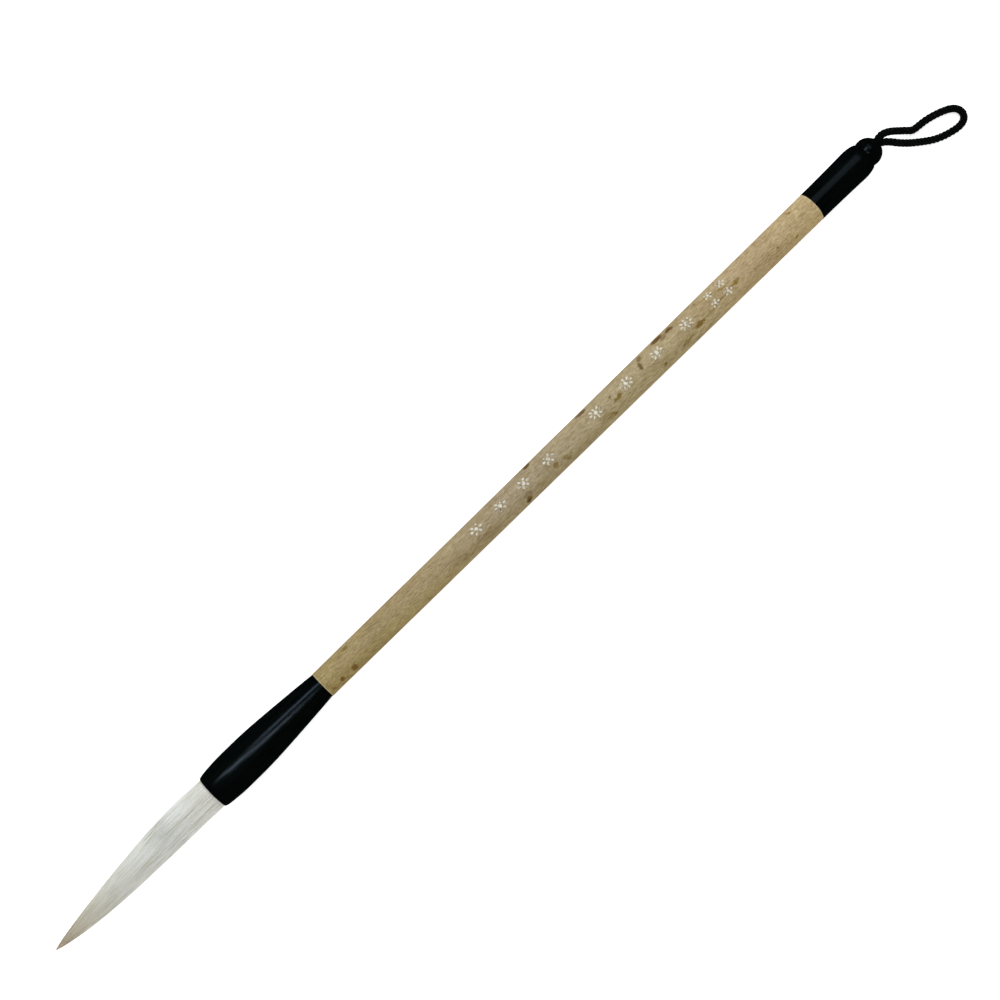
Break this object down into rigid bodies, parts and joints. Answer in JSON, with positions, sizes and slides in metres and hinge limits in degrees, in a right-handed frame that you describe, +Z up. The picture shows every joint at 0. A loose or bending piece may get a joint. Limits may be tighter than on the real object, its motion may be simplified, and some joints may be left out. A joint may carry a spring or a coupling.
{
  "type": "calligraphy brush",
  "caption": "Long slender writing brush: pointed pale hair tuft in a black flared ferrule, tapered bamboo shaft with engraved floral marks, black end cap with a bead and a hanging cord loop.",
  "frame": {"origin": "under the middle of the brush's length, without its cord, on the surface that the brush lies on", "axes": "+X runs along the shaft from the hair tip to the cap, +Z is up, away from the surface, and the engraved marks face up"},
  "size_m": [0.3145, 0.0181, 0.0108],
  "materials": {
    "horn": "polished black horn",
    "bamboo": "waxed natural skin",
    "white_paint": "matte paint in an engraved recess",
    "goat_hair": "bleached goat hair, sized to a point",
    "thread": "waxed cotton thread",
    "resin": "clear amber rosin",
    "cord": "black braided cord"
  },
  "bodies": {
    "handle": {"ferrule": "horn", "bamboo_shaft": "bamboo", "engraving_paint": "white_paint", "tail_cap": "horn", "root_binding": "thread", "root_glue": "resin", "hair_core_root": "goat_hair", "hair_lining_root": "goat_hair", "hair_mantle_root": "goat_hair", "cord_knot": "cord", "cord_legs": "cord"},
    "tuft_belly": {"hair_core_belly": "goat_hair", "hair_lining_belly": "goat_hair", "hair_mantle_belly": "goat_hair"},
    "tuft_point": {"hair_core_point": "goat_hair", "hair_mantle_point": "goat_hair"},
    "hanging_loop": {"cord_loop": "cord"}
  },
  "joints": [
    {"name": "tuft_base_bend", "type": "hinge", "parent": "handle", "child": "tuft_belly", "pos_m": [-0.09185, 0, 0.0054], "axis": [0, 0, 1], "range_deg": [-12, 12], "stiffness_Nm_per_rad": 0.02},
    {"name": "tuft_point_bend", "type": "hinge", "parent": "tuft_belly", "child": "tuft_point", "pos_m": [-0.11485, 0, 0.0054], "axis": [0, 0, 1], "range_deg": [-36, 36], "stiffness_Nm_per_rad": 0.005},
    {"name": "cord_swing", "type": "hinge", "parent": "handle", "child": "hanging_loop", "pos_m": [0.14645, 0, 0.0054], "axis": [0, 0, 1], "range_deg": [-40, 85]}
  ],
  "couplings": [
    {"joint": "tuft_point_bend", "follows": "tuft_base_bend", "ratio": 3}
  ]
}
